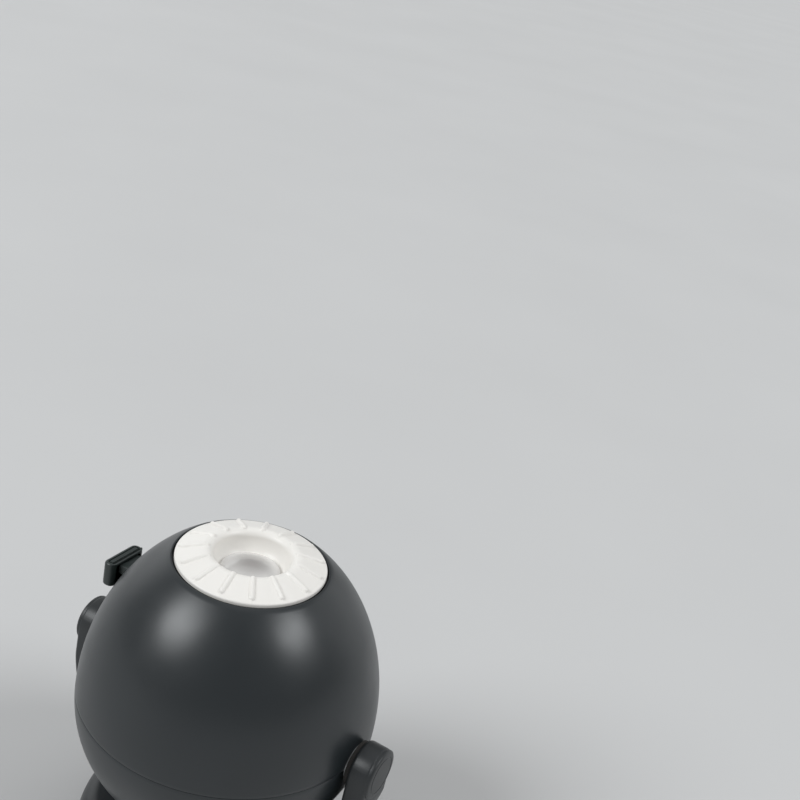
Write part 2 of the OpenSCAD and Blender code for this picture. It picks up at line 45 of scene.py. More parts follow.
# Sizes in millimetres, the same as the CAD source has
PIVOT_Z = 92.0
RING_Z = 76.0
BODY_R = 73.7
CROWN_H = 88.9
KEEL_H = 68.0
WALL = 2.4
RECESS_R = 37.0
DECK_TOP = 73.4
DECK_LOW = 71.0
BUSH_R = 26.5
STEM_R = 9.0
SLOT_HALF = 27.0
SLOT_LOW = 37.6
SLOT_HIGH = 45.8
PANEL_R = 18.0
PANEL_Z = 24.0
DOOR_HALF = 28.6
DOOR_LOW = -45.4
DOOR_HIGH = -2.0
LEDGE = 1.5
LEDGE_DEPTH = 2.7
FRAME_HALF = 31.2
FRAME_LOW = -46.6
FRAME_Y = 39.0
SHELL_SCREWS = [(48, 30), (-48, 30), (-48, -30), (48, -30)]
BASE_SCREWS = [(37.97, 37.97), (-37.97, 37.97), (-37.97, -37.97), (37.97, -37.97)]

RIB_COUNT = 15
RIB_PHASE = 17.0
RIB_HALF = 1.3
RIB_SINK = 0.3
RIB_FOOT = 0.12
RIB_SWELL = 0.25
RIB_INNER = 21.6
RIB_OUTER = 33.1
FACE_INNER = (23.9, 5.2)
FACE_OUTER = (34.2, 1.75)
LIP_R = 18.5
STEPS_PER_RIB = 32

ARM_IN = 77.5
ARM_THICK = 11.0
ARM_FLAT_X = 87.0
ARM_END_R = 12.5
ARM_FOOT_HALF = 20.0
BASE_TOP = 22.0
BASE_R = 66.0
FOOT_H = 2.0
LIGHT_TINT = (0.96, 0.985, 1.0)
ACRYLIC_IOR = 1.49
FACE_PITCH = 0.937


# ---------------------------------------------------------------- node trees


class Socket:
    """An output in a material's node tree. Arithmetic on it makes Math nodes."""

    def __init__(self, look, socket):
        self.look = look
        self.socket = socket

    def maths(self, operation, first, second=None):
        values = {0: first}
        if second is not None:
            values[1] = second
        return self.look.node("ShaderNodeMath", {"operation": operation}, values)

    def __add__(self, other):
        return self.maths("ADD", self, other)

    def __mul__(self, other):
        return self.maths("MULTIPLY", self, other)

    def __truediv__(self, other):
        return self.maths("DIVIDE", self, other)

    def __lt__(self, other):
        return self.maths("LESS_THAN", self, other)

    def __gt__(self, other):
        return self.maths("GREATER_THAN", self, other)


class Look:
    """A material whose colours, roughness and relief come from the object's own coordinates."""

    def __init__(self, name):
        self.material = bpy.data.materials.new(name)
        self.material.use_nodes = True
        self.tree = self.material.node_tree
        self.tree.nodes.clear()
        self.place = self.node("ShaderNodeTexCoord", out="Object")

    def node(self, kind, settings=None, values=None, out=0):
        made = self.tree.nodes.new(kind)
        for key, value in (settings or {}).items():
            setattr(made, key, value)
        for key, value in (values or {}).items():
            if isinstance(value, Socket):
                self.tree.links.new(value.socket, made.inputs[key])
            else:
                made.inputs[key].default_value = value
        return Socket(self, made.outputs[out])

    def axes(self, x, y, z):
        """Place stretched along the axes, for marks that run one way."""
        return self.node("ShaderNodeMapping", values={"Vector": self.place, "Scale": (x, y, z)})

    def noise(self, scale, detail=3.0, rough=0.5, place=None):
        values = {"Vector": place or self.place, "Scale": scale, "Detail": detail, "Roughness": rough}
        return self.node("ShaderNodeTexNoise", {"noise_dimensions": "3D"}, values)

    def cells(self, scale):
        """Distance to the nearest of many scattered points."""
        values = {"Vector": self.place, "Scale": scale}
        return self.node("ShaderNodeTexVoronoi", values=values)

    def fit(self, value, low, high, to_low, to_high):
        """Carries a value from one span to another, held at its ends."""
        values = {0: value, 1: low, 2: high, 3: to_low, 4: to_high}
        return self.node("ShaderNodeMapRange", {"clamp": True}, values)

    def split(self, out):
        return self.node("ShaderNodeSeparateXYZ", values={0: self.place}, out=out)

    def blend(self, amount, first, second):
        """Colour between two, by an amount of 0 to 1."""
        return self.node("ShaderNodeMix", {"data_type": "RGBA"}, {0: amount, 6: first, 7: second}, out=2)

    def relief(self, height, depth, strength=1.0, under=None):
        values = {"Height": height, "Distance": depth, "Strength": strength}
        if under is not None:
            values["Normal"] = under
        return self.node("ShaderNodeBump", values=values)

    def shader(self, **sockets):
        values = {key.replace("_", " "): value for key, value in sockets.items()}
        surface = self.node("ShaderNodeBsdfPrincipled", values=values)
        output = self.tree.nodes.new("ShaderNodeOutputMaterial")
        self.tree.links.new(surface.socket, output.inputs["Surface"])
        return self.material


def tone(red, green, blue):
    """Linear colour of an sRGB one given in 0 to 255."""
    parts = []
    for value in (red, green, blue):
        share = value / 255
        linear = share / 12.92 if share <= 0.04045 else ((share + 0.055) / 1.055) ** 2.4
        parts.append(linear)
    return (*parts, 1.0)


def shaded(colour, gain):
    """Colour made lighter or darker by a gain, up to white."""
    return tuple(min(1.0, value * gain) for value in colour[:3]) + (1.0,)


def moulded_plastic(name, colour, rough, grain=2600.0, depth=0.00002, mottle=0.06, coat=0.0, gloss=0.5):
    """Injection-moulded plastic: faint flow mottle, fine spark-eroded grain, uneven satin."""
    look = Look(name)
    flow = look.noise(18.0, 4.0, 0.55)
    speck = look.noise(900.0, 2.0, 0.6)
    amount = look.fit(flow * 0.7 + speck * 0.3, 0.32, 0.68, 0.0, 1.0)
    base = look.blend(amount, shaded(colour, 1 - mottle), shaded(colour, 1 + mottle))
    satin = look.fit(look.noise(45.0, 3.0), 0.3, 0.7, rough - 0.035, rough + 0.035)
    bump = look.relief(look.noise(grain, 2.0, 0.5), depth, 0.55)
    return look.shader(
        Base_Color=base,
        Roughness=satin,
        Normal=bump,
        Coat_Weight=coat,
        Specular_IOR_Level=gloss,
    )


def brushed_metal(name, colour, rough, x=1.0, y=1.0, z=1.0, pits=0.0):
    """Metal with fine tool marks along one axis and a little tarnish."""
    look = Look(name)
    marks = look.noise(2200.0, 3.0, 0.6, place=look.axes(x, y, z))
    tarnish = look.noise(60.0, 4.0, 0.6)
    base = look.blend(look.fit(tarnish, 0.42, 0.75, 0.0, 0.6), colour, shaded(colour, 0.72))
    satin = look.fit(marks, 0.3, 0.7, rough - 0.08, rough + 0.12)
    bump = look.relief(marks + look.noise(700.0, 3.0) * pits, 0.00002, 0.5)
    return look.shader(Base_Color=base, Roughness=satin, Metallic=1.0, Normal=bump)


def clear_glass(name, tint, rough):
    """Moulded acrylic lens with a faint haze."""
    look = Look(name)
    haze = look.fit(look.noise(70.0, 3.0), 0.3, 0.7, rough, rough + 0.03)
    amount = look.fit(look.noise(25.0, 2.0), 0.3, 0.7, 0.0, 1.0)
    film = look.blend(amount, tint, shaded(tint, 1.05))
    return look.shader(Base_Color=film, Roughness=haze, Transmission_Weight=1.0, IOR=ACRYLIC_IOR)


def ground_lens(name, middle, rim, radius):
    """Moulded lens with painted shade and a painted highlight: its colour is painted dark in the middle,
    standing in for the dark barrel seen through it, and painted pale towards its rim as a highlight.
    """
    look = Look(name)
    x = look.split("X")
    y = look.split("Y")
    out = (x * x + y * y) / (radius * radius)
    # Painted shade and highlight: the colour runs from a painted dark middle, in place of the barrel seen
    # through, to a painted pale rim highlight.
    film = look.blend(look.fit(out, 0.0, 0.8, 0.0, 1.0), middle, rim)
    haze = look.fit(look.noise(70.0, 3.0), 0.3, 0.7, 0.13, 0.17)
    return look.shader(
        Base_Color=film,
        Roughness=haze,
        Transmission_Weight=0.2,
        IOR=ACRYLIC_IOR,
        Coat_Weight=0.8,
        Coat_Roughness=0.04,
    )


def soft_rubber(name, colour):
    """Matt rubber or fibre with a dusty bloom."""
    look = Look(name)
    dust = look.noise(420.0, 4.0, 0.65)
    base = look.blend(look.fit(dust, 0.45, 0.8, 0.0, 0.5), colour, shaded(colour, 1.8))
    bump = look.relief(look.noise(1500.0, 3.0), 0.00004, 0.6)
    return look.shader(Base_Color=base, Roughness=look.fit(dust, 0.3, 0.7, 0.75, 0.92), Normal=bump)


def scattered_stars(name):
    """Dark film with plain scattered dots of a few sizes."""
    look = Look(name)
    small = look.cells(620.0)
    large = look.cells(210.0)
    dots = look.fit(small, 0.13, 0.17, 1.0, 0.0) + look.fit(large, 0.07, 0.09, 1.0, 0.0)
    keep = look.fit(look.noise(180.0, 2.0), 0.47, 0.52, 0.0, 1.0)
    cloud = look.fit(look.noise(40.0, 3.0), 0.3, 0.7, 0.0, 1.0)
    night = look.blend(cloud, tone(9, 14, 44), tone(17, 28, 72))
    base = look.blend(dots * keep, night, tone(236, 236, 226))
    return look.shader(Base_Color=base, Roughness=look.fit(dots, 0.0, 1.0, 0.16, 0.3), Coat_Weight=0.4)


def circuit_board(name, colour, copper):
    """Lacquered board with faint tracks under the lacquer."""
    look = Look(name)
    tracks = look.cells(240.0)
    amount = look.fit(tracks, 0.32, 0.36, 0.0, 0.55)
    base = look.blend(amount, colour, copper)
    satin = look.fit(look.noise(90.0), 0.3, 0.7, 0.28, 0.42)
    bump = look.relief(amount, 0.00003, 0.6)
    return look.shader(Base_Color=base, Roughness=satin, Normal=bump)


def cell_sleeve(name):
    """Printed sleeve of a battery cell: dark with a copper end, and bare metal at both ends."""
    look = Look(name)
    along = look.split("X")
    band = look.fit(along, 0.0128, 0.0132, 0.0, 1.0)
    base = look.blend(band, tone(54, 58, 62), tone(176, 118, 66))
    ends = (along > 0.0237) + (along < -0.0248)
    base = look.blend(ends, base, tone(205, 207, 208))
    satin = look.fit(look.noise(300.0, 2.0), 0.3, 0.7, 0.24, 0.34)
    return look.shader(Base_Color=base, Roughness=satin, Metallic=look.fit(ends, 0.0, 1.0, 0.35, 1.0))


def cast_iron(name):
    """Rough casting with dark and light grains."""
    look = Look(name)
    lumps = look.noise(380.0, 5.0, 0.62)
    base = look.blend(look.fit(lumps, 0.35, 0.7, 0.0, 1.0), tone(84, 86, 88), tone(126, 127, 128))
    return look.shader(
        Base_Color=base,
        Metallic=0.8,
        Roughness=look.fit(lumps, 0.3, 0.7, 0.5, 0.7),
        Normal=look.relief(lumps, 0.0001, 0.7),
    )


head_plastic = moulded_plastic("charcoal_shell", tone(34, 39, 42), 0.34, gloss=0.6)
stand_plastic = moulded_plastic("charcoal_stand", tone(40, 43, 45), 0.4, grain=2200.0, depth=0.00003)
ring_plastic = moulded_plastic("warm_white_ring", tone(243, 240, 235), 0.36, depth=0.00001, mottle=0.012)
tray_plastic = moulded_plastic("green_grey_tray", tone(44, 52, 51), 0.36)
panel_plastic = moulded_plastic("dark_panel", tone(30, 32, 34), 0.5, grain=1800.0, depth=0.00004)
inner_plastic = moulded_plastic("black_inner", tone(28, 30, 32), 0.52)
barrel_plastic = moulded_plastic("matt_black_barrel", tone(24, 24, 25), 0.6)
gear_plastic = moulded_plastic("ivory_gear", tone(226, 220, 204), 0.4, mottle=0.03)
red_plastic = moulded_plastic("red_button_cap", tone(186, 52, 44), 0.34, mottle=0.04, coat=0.3)
grey_plastic = moulded_plastic("grey_button_cap", tone(196, 199, 200), 0.36, mottle=0.03, coat=0.3)
lamp_resin = moulded_plastic("lamp_resin", tone(240, 232, 176), 0.25, mottle=0.05)
white_board = circuit_board("white_lamp_board", tone(226, 226, 220), tone(196, 198, 190))
green_board = circuit_board("green_control_board", tone(30, 92, 60), tone(70, 134, 84))
lens_glass = clear_glass("acrylic_lens", (0.93, 0.95, 0.96, 1.0), 0.02)
# Front lens colours: painted shade in the middle, standing in for the dark barrel seen through it, and a
# painted highlight towards the rim.
dome_glass = ground_lens("front_lens_painted_shade", tone(180, 176, 173), tone(246, 244, 242), 0.0141)
steel = brushed_metal("screw_steel", tone(176, 178, 180), 0.3)
spring_steel = brushed_metal("spring_steel", tone(200, 202, 204), 0.22, x=0.2)
aluminium = brushed_metal("turned_aluminium", tone(196, 198, 200), 0.34, x=6.0, y=0.4, z=0.4)
motor_metal = brushed_metal("drawn_motor_can", tone(182, 184, 186), 0.36, z=0.15, pits=0.3)
iron = cast_iron("ballast_iron")
rubber = soft_rubber("foot_rubber", tone(34, 34, 35))
fibre = soft_rubber("washer_fibre", tone(44, 42, 40))
sleeve = cell_sleeve("cell_sleeve")
film = scattered_stars("star_dots")

NODE_LOOKS = {
    "base_plate": stand_plastic,
    "ballast_weight": iron,
    "rubber_feet": rubber,
    "base_screws": steel,
    "arm_screws": steel,
    "friction_washers": fibre,
    "shell_screws": steel,
    "trunnion_left": aluminium,
    "trunnion_right": aluminium,
    "pivot_washers": steel,
    "pivot_screws": steel,
    "ring_bush": inner_plastic,
    "lens_guide": inner_plastic,
    "tray_rails": inner_plastic,
    "chassis_plate": inner_plastic,
    "chassis_screws": steel,
    "condenser_holder": inner_plastic,
    "condenser_lens": lens_glass,
    "light_reflector": aluminium,
    "led_lamp": lamp_resin,
    "led_board": white_board,
    "heat_sink": aluminium,
    "drive_motor": motor_metal,
    "switch_bodies": barrel_plastic,
    "control_board": green_board,
    "battery_box": inner_plastic,
    "battery_cells": sleeve,
    "contact_springs": spring_steel,
    "contact_plates": spring_steel,
    "ring_clip": spring_steel,
    "rear_lens": lens_glass,
    "lens_retainer": barrel_plastic,
    "lens_barrel": barrel_plastic,
    "star_disc": inner_plastic,
    "star_film": film,
    "drive_pinion": gear_plastic,
    "motor_shaft": steel,
    "disc_tray": tray_plastic,
    "control_panel": panel_plastic,
    "power_button": red_plastic,
    "timer_button": grey_plastic,
    "battery_door": head_plastic,
    "arm_cap_left": stand_plastic,
    "arm_cap_right": stand_plastic,
    "base_shell": stand_plastic,
    "yoke_arm_left": stand_plastic,
    "yoke_arm_right": stand_plastic,
    "upper_shell": head_plastic,
    "lower_shell": head_plastic,
    "focus_ring": ring_plastic,
    "front_lens": lens_glass,
}

for node_name, node_look in NODE_LOOKS.items():
    node_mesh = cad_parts[node_name].data
    node_mesh.materials.clear()
    node_mesh.materials.append(node_look)


# ---------------------------------------------------------------- mesh helpers


def finished(name, bm, look, body, stands_for=(), sharp=35.0):
    """Makes an object of a mesh given in millimetres, and hands it to the frame."""
    bmesh.ops.remove_doubles(bm, verts=bm.verts, dist=0.0005)
    bmesh.ops.recalc_face_normals(bm, faces=bm.faces)
    bmesh.ops.scale(bm, vec=(MM, MM, MM), verts=bm.verts)
    for face in bm.faces:
        face.smooth = True
    mesh = bpy.data.meshes.new(name)
    bm.to_mesh(mesh)
    bm.free()
    mesh.set_sharp_from_angle(angle=math.radians(sharp))
    mesh.materials.append(look)
    piece = bpy.data.objects.new(name, mesh)
    bpy.context.scene.collection.objects.link(piece)
    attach(piece, body)
    if stands_for:
        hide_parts(*stands_for)
    return piece


def lathe(section, steps, closed=True, start=0.0, height=0.0):
    """Turns a section of (radius, height) points fully round the vertical axis."""
    bm = bmesh.new()
    points = [bm.verts.new((radius, 0.0, z + height)) for radius, z in section]
    for first, second in zip(points, points[1:]):
        bm.edges.new((first, second))
    if closed:
        bm.edges.new((points[-1], points[0]))
    bmesh.ops.rotate(bm, verts=bm.verts, cent=(0, 0, 0), matrix=Matrix.Rotation(math.radians(start), 3, "Z"))
    geometry = bm.verts[:] + bm.edges[:]
    bmesh.ops.spin(bm, geom=geometry, cent=(0, 0, 0), axis=(0, 0, 1), angle=TURN, steps=steps, use_merge=True)
    bmesh.ops.remove_doubles(bm, verts=bm.verts, dist=0.0005)
    bmesh.ops.recalc_face_normals(bm, faces=bm.faces)
    return bm


def egg_radius(z, inset=0.0):
    """Radius of the head at a level above or below the tilt axis."""
    reach = (CROWN_H if z >= 0 else KEEL_H) - inset
    return (BODY_R - inset) * math.sqrt(max(0.0, 1 - (z / reach) ** 2))


def egg_curve(low, high, inset, parts):
    """Points of the head's side between two levels, close together where it turns most."""
    reach = (CROWN_H if high > 0 else KEEL_H) - inset
    first = math.asin(max(-1.0, low / reach))
    last = math.asin(min(1.0, high / reach))
    points = []
    for step in range(parts + 1):
        angle = first + (last - first) * step / parts
        points.append(((BODY_R - inset) * math.cos(angle), reach * math.sin(angle)))
    return points


def block(low, high):
    """Box between two corners."""
    bm = bmesh.new()
    bmesh.ops.create_cube(bm, size=1.0)
    size = [high[axis] - low[axis] for axis in range(3)]
    middle = [(high[axis] + low[axis]) / 2 for axis in range(3)]
    bmesh.ops.scale(bm, vec=size, verts=bm.verts)
    bmesh.ops.translate(bm, vec=middle, verts=bm.verts)
    return bm


def rod(radius, low, high, axis="Z", at=(0.0, 0.0, 0.0), steps=96):
    """Round bar along an axis between two levels on it."""
    bm = bmesh.new()
    bmesh.ops.create_cone(bm, cap_ends=True, segments=steps, radius1=radius, radius2=radius, depth=high - low)
    bmesh.ops.translate(bm, vec=(0, 0, (high + low) / 2), verts=bm.verts)
    if axis == "X":
        bmesh.ops.rotate(bm, verts=bm.verts, cent=(0, 0, 0), matrix=Matrix.Rotation(TURN / 4, 3, "Y"))
    if axis == "Y":
        bmesh.ops.rotate(bm, verts=bm.verts, cent=(0, 0, 0), matrix=Matrix.Rotation(-TURN / 4, 3, "X"))
    bmesh.ops.translate(bm, vec=at, verts=bm.verts)
    return bm


def prism(points, reach):
    """Solid drawn out of a flat outline along a vector."""
    bm = bmesh.new()
    face = bm.faces.new([bm.verts.new(point) for point in points])
    made = bmesh.ops.extrude_face_region(bm, geom=[face])
    moved = [item for item in made["geom"] if isinstance(item, bmesh.types.BMVert)]
    bmesh.ops.translate(bm, vec=reach, verts=moved)
    return bm


def round_edges(bm, edges, width, parts, clamp=False):
    """Rounds edges by a number of parts."""
    bmesh.ops.bevel(
        bm,
        geom=edges,
        offset=width,
        offset_type="OFFSET",
        affect="EDGES",
        segments=parts,
        profile=0.5,
        material=-1,
        clamp_overlap=clamp,
    )


def absorb(whole, part):
    """Moves all of one mesh into another."""
    mesh = bpy.data.meshes.new("part")
    part.to_mesh(mesh)
    part.free()
    whole.from_mesh(mesh)
    bpy.data.meshes.remove(mesh)


def cad_copy(node):
    """Copy of a CAD node's mesh in millimetres, with its doubled points merged."""
    bm = bmesh.new()
    bm.from_mesh(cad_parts[node].data)
    bmesh.ops.scale(bm, vec=(1 / MM, 1 / MM, 1 / MM), verts=bm.verts)
    bmesh.ops.remove_doubles(bm, verts=bm.verts, dist=0.004)
    return bm


def object_of(name, bm):
    mesh = bpy.data.meshes.new(name)
    bmesh.ops.recalc_face_normals(bm, faces=bm.faces)
    bm.to_mesh(mesh)
    bm.free()
    made = bpy.data.objects.new(name, mesh)
    bpy.context.scene.collection.objects.link(made)
    return made


def combined(body, steps):
    """Cuts, joins or clips a mesh by others, in order, and returns the mesh that is left."""
    target = object_of("work_body", body)
    tools = []
    for operation, tool in steps:
        cutter = object_of("work_tool", tool)
        tools.append(cutter)
        change = target.modifiers.new("change", "BOOLEAN")
        change.operation = operation
        change.solver = "EXACT"
        change.object = cutter
    bpy.context.view_layer.update()
    graph = bpy.context.evaluated_depsgraph_get()
    result = bmesh.new()
    result.from_mesh(target.evaluated_get(graph).to_mesh())
    target.evaluated_get(graph).to_mesh_clear()
    for used in [target] + tools:
        mesh = used.data
        bpy.data.objects.remove(used)
        bpy.data.meshes.remove(mesh)
    bmesh.ops.remove_doubles(result, verts=result.verts, dist=0.002)
    bmesh.ops.dissolve_degenerate(result, edges=result.edges, dist=0.002)
    return result


def egg_solid(inset, steps=160):
    """Solid of the head's form, drawn in by an inset, as a cutting tool."""
    section = egg_curve(-(KEEL_H - inset), 0, inset, 40)
    section = section + egg_curve(0, CROWN_H - inset, inset, 48)[1:]
    section = [(max(0.0, radius), z) for radius, z in section]
    return lathe(section, steps, closed=False)


# ---------------------------------------------------------------- head shells


def crown_shell():
    """Upper shell: egg side, rounded lip round the ring's recess, deck, slot and holes."""
    edge = egg_radius(0.0)
    outer = [(edge - 0.35, 0.0), (edge - 0.12, 0.1)] + egg_curve(0.38, RING_Z - 0.45, 0.0, 56)
    top = egg_radius(RING_Z)
    lip = [(top - 0.12, RING_Z - 0.16), (top - 0.42, RING_Z), (RECESS_R + 0.3, RING_Z)]
    lip = lip + [(RECESS_R + 0.08, RING_Z - 0.09), (RECESS_R, RING_Z - 0.3)]
    deck = [(RECESS_R, DECK_TOP), (BUSH_R, DECK_TOP), (BUSH_R, DECK_LOW)]
    inner = egg_curve(0.0, DECK_LOW - 0.1, WALL, 40)[::-1]
    slot = block((-BODY_R - 5, -SLOT_HALF, SLOT_LOW), (-BODY_R + 35, SLOT_HALF, SLOT_HIGH))
    steps = [
        ("DIFFERENCE", slot),
        ("DIFFERENCE", rod(PANEL_R, 50, 82, "Y", (0, 0, PANEL_Z), 128)),
        ("DIFFERENCE", rod(STEM_R, -90, 90, "X")),
    ]
    bm = combined(lathe(outer + lip + deck + inner, 192), steps)
    bmesh.ops.translate(bm, vec=(0, 0, PIVOT_Z), verts=bm.verts)
    return finished("crown_shell", bm, head_plastic, "head", ["upper_shell"])


def bowl_shell():
    """Lower shell: bowl side, battery door's frame and rebate, screw wells and trunnion holes."""
    edge = egg_radius(0.0)
    outer = [(0.0, -KEEL_H)] + egg_curve(-KEEL_H, -0.38, 0.0, 56)[1:]
    outer = outer + [(edge - 0.12, -0.1), (edge - 0.35, 0.0)]
    inner = egg_curve(-(KEEL_H - WALL), 0.0, WALL, 44)[::-1]
    inner[-1] = (0.0, -(KEEL_H - WALL))
    bm = lathe(outer + inner, 192, closed=False)
    door_box = block((-DOOR_HALF, FRAME_Y - 1, DOOR_LOW), (DOOR_HALF, 90, DOOR_HIGH))
    rebate = combined(door_box, [("DIFFERENCE", egg_solid(LEDGE_DEPTH))])
    surround = block((-FRAME_HALF, FRAME_Y, FRAME_LOW), (FRAME_HALF, 90, 0.0))
    surround = combined(surround, [("INTERSECT", egg_solid(WALL / 2))])
    low = (-DOOR_HALF + LEDGE, FRAME_Y - 1, DOOR_LOW + LEDGE)
    opening = block(low, (DOOR_HALF - LEDGE, 90, DOOR_HIGH - LEDGE))
    steps = [
        ("UNION", surround),
        ("DIFFERENCE", rebate),
        ("DIFFERENCE", opening),
        ("DIFFERENCE", rod(STEM_R, -90, 90, "X")),
    ]
    for x, y in SHELL_SCREWS:
        steps.append(("DIFFERENCE", rod(3.2, -60, -10, "Z", (x, y, 0), 40)))
    bm = combined(bm, steps)
    bmesh.ops.translate(bm, vec=(0, 0, PIVOT_Z), verts=bm.verts)
    return finished("bowl_shell", bm, head_plastic, "head", ["lower_shell"])


# ---------------------------------------------------------------- focus ring and lens


def ring_profile():
    """Section of the ring: rim, sloping face, rounded crest and lip, bowl and skirt."""
    rim = [(34.6, -0.8), (35.8, -0.8), (36.0, -0.6), (36.0, 0.55)]
    for step in range(1, 7):
        angle = math.radians(15 * step)
        rim.append((35.1 + 0.9 * math.cos(angle), 0.55 + 0.9 * math.sin(angle)))
    face = []
    for step in range(31):
        share = step / 30
        radius = FACE_OUTER[0] + (FACE_INNER[0] - FACE_OUTER[0]) * share
        face.append((radius, FACE_OUTER[1] + (FACE_INNER[1] - FACE_OUTER[1]) * share))
    crest = []
    for step in range(1, 6):
        share = step / 6
        fall = FACE_INNER[0] - 1.9 * share
        crest.append((fall, FACE_INNER[1] + 0.64 * share - 0.32 * share * share))
    lip = []
    for step in range(20):
        angle = math.radians(4 + 4.5 * step)
        lip.append((21.9 - 3.4 * math.sin(angle), 2.6 + 2.93 * math.cos(angle)))
    bowl = []
    for step in range(17):
        share = step / 16
        angle = math.radians(90 * share)
        bowl.append((14.6 + (LIP_R - 14.6) * math.cos(angle), 2.4 - 7.6 * math.sin(angle)))
    back = [(14.6, -6.4), (14.8, -6.6), (17, -6.6), (20.4, -1), (22, 2)]
    back = back + [(22, -23), (24, -23), (24, 3.6), (34, 0)]
    return rim + face + crest + lip + bowl + back


def rib_height(across, along):
    """Height of a half-sunk round bar with ball ends, at a point of the ring's face."""
    length = (RIB_OUTER - RIB_INNER) / FACE_PITCH
    past = max(0.0, along - length, -along)
    distance = math.hypot(across, past)
    if distance < RIB_HALF:
        swell = RIB_SWELL * max(0.0, min(1.0, along / length))
        rise = math.sqrt(RIB_HALF**2 - distance**2) * (1 + swell) - RIB_SINK
    else:
        rise = -RIB_SINK - 2.0 * (distance - RIB_HALF)
    return 0.5 * (rise + math.sqrt(rise * rise + RIB_FOOT * RIB_FOOT))


def ribbed_ring():
    """Focus ring: its section turned round, with fifteen ribs raised out of the sloping face."""
    bm = lathe(ring_profile(), RIB_COUNT * STEPS_PER_RIB, start=RIB_PHASE)
    pitch = TURN / RIB_COUNT
    slope = Vector((FACE_OUTER[0] - FACE_INNER[0], FACE_OUTER[1] - FACE_INNER[1])).normalized()
    up = Vector((-slope.y, slope.x))
    for vert in bm.verts:
        radius = math.hypot(vert.co.x, vert.co.y)
        angle = math.atan2(vert.co.y, vert.co.x) - math.radians(RIB_PHASE)
        sector = math.floor(angle / pitch + 0.5)
        share = (angle / pitch - sector) * 2
        warped = 0.35 * share + 0.65 * share**3
        turned = (sector + warped / 2) * pitch + math.radians(RIB_PHASE)
        z = vert.co.z
        on_face = 18.9 < radius < 35.6 and z > 0.9
        if on_face:
            lean = max(0.0, min(1.0, (radius - 21.5) / 2.4))
            across = radius * math.sin(warped / 2 * pitch)
            along = (radius - RIB_INNER) / FACE_PITCH
            rise = rib_height(across, along)
            radius = radius + up.x * rise * lean
            z = z + up.y * rise
        vert.co = (radius * math.cos(turned), radius * math.sin(turned), z)
    bmesh.ops.translate(bm, vec=(0, 0, PIVOT_Z + RING_Z), verts=bm.verts)
    return finished("ribbed_ring", bm, ring_plastic, "focus_ring", ["focus_ring"])


def front_glass():
    """Front lens: stem in the barrel, rim that caps the barrel, and a smooth dome."""
    low = -3.6
    rise = 3.1
    reach = 14.05
    ball = (reach * reach + rise * rise) / (2 * rise)
    points = [(0.0, -8.8), (13.0, -8.8), (13.2, -8.6), (13.2, -5.5), (14.15, -5.5), (14.3, -5.35)]
    points = points + [(14.3, -3.85), (14.24, -3.68)]
    span = math.asin(reach / ball)
    for step in range(29):
        angle = span * (1 - step / 28)
        points.append((ball * math.sin(angle), low + rise - ball * (1 - math.cos(angle))))
    bm = lathe(points, 144, closed=False, height=PIVOT_Z + RING_Z)
    return finished("front_glass", bm, dome_glass, "lens", ["front_lens"])


# ---------------------------------------------------------------- stand


def turned_to_x(bm, mirrored):
    """Lays a mesh that stands along Z down along X, on the right or the left side."""
    bmesh.ops.rotate(bm, verts=bm.verts, cent=(0, 0, 0), matrix=Matrix.Rotation(TURN / 4, 3, "Y"))
    if mirrored:
        bmesh.ops.scale(bm, vec=(-1, 1, 1), verts=bm.verts)
    bmesh.ops.translate(bm, vec=(0, 0, PIVOT_Z), verts=bm.verts)


def base_housing():
    """Base: rounded shoulder, flat top, dished middle, and a thin-walled underside."""
    ball = ARM_IN
    points = []
    last = math.asin(33.0 / ball)
    for step in range(15):
        angle = last * step / 14
        points.append((ball * math.sin(angle), PIVOT_Z - ball * math.cos(angle)))
    points = points + [(33.7, BASE_TOP - 0.04), (34.3, BASE_TOP)]
    for step in range(17):
        angle = TURN / 4 * (1 - step / 16)
        points.append((BASE_R - 10 + 10 * math.cos(angle), 5 + 17 * math.sin(angle)))
    points = points + [(BASE_R, 2.6), (BASE_R - 0.18, 2.18), (BASE_R - 0.6, FOOT_H)]
    points = points + [(62.4, FOOT_H), (62.0, 2.4), (62.0, 4.0), (60, 4.0), (60, 9), (55, 19.5), (36, 19.5)]
    inner = ball + 2.5
    last = math.asin(33.0 / inner)
    for step in range(9):
        angle = last * (1 - step / 8)
        points.append((inner * math.sin(angle), PIVOT_Z - inner * math.cos(angle)))
    bm = lathe(points, 192, closed=False)
    return finished("base_housing", bm, stand_plastic, "stand", ["base_shell"])


def arm_side(z):
    """Inner and outer face of an arm at a level from the tilt axis."""
    inner = min(76.2, math.sqrt(ARM_IN**2 - z * z))
    curve = math.sqrt((ARM_IN + ARM_THICK) ** 2 - z * z)
    gap = ARM_FLAT_X - curve
    outer = ARM_FLAT_X - 0.5 * (gap + math.sqrt(gap * gap + 0.15))
    return inner, outer


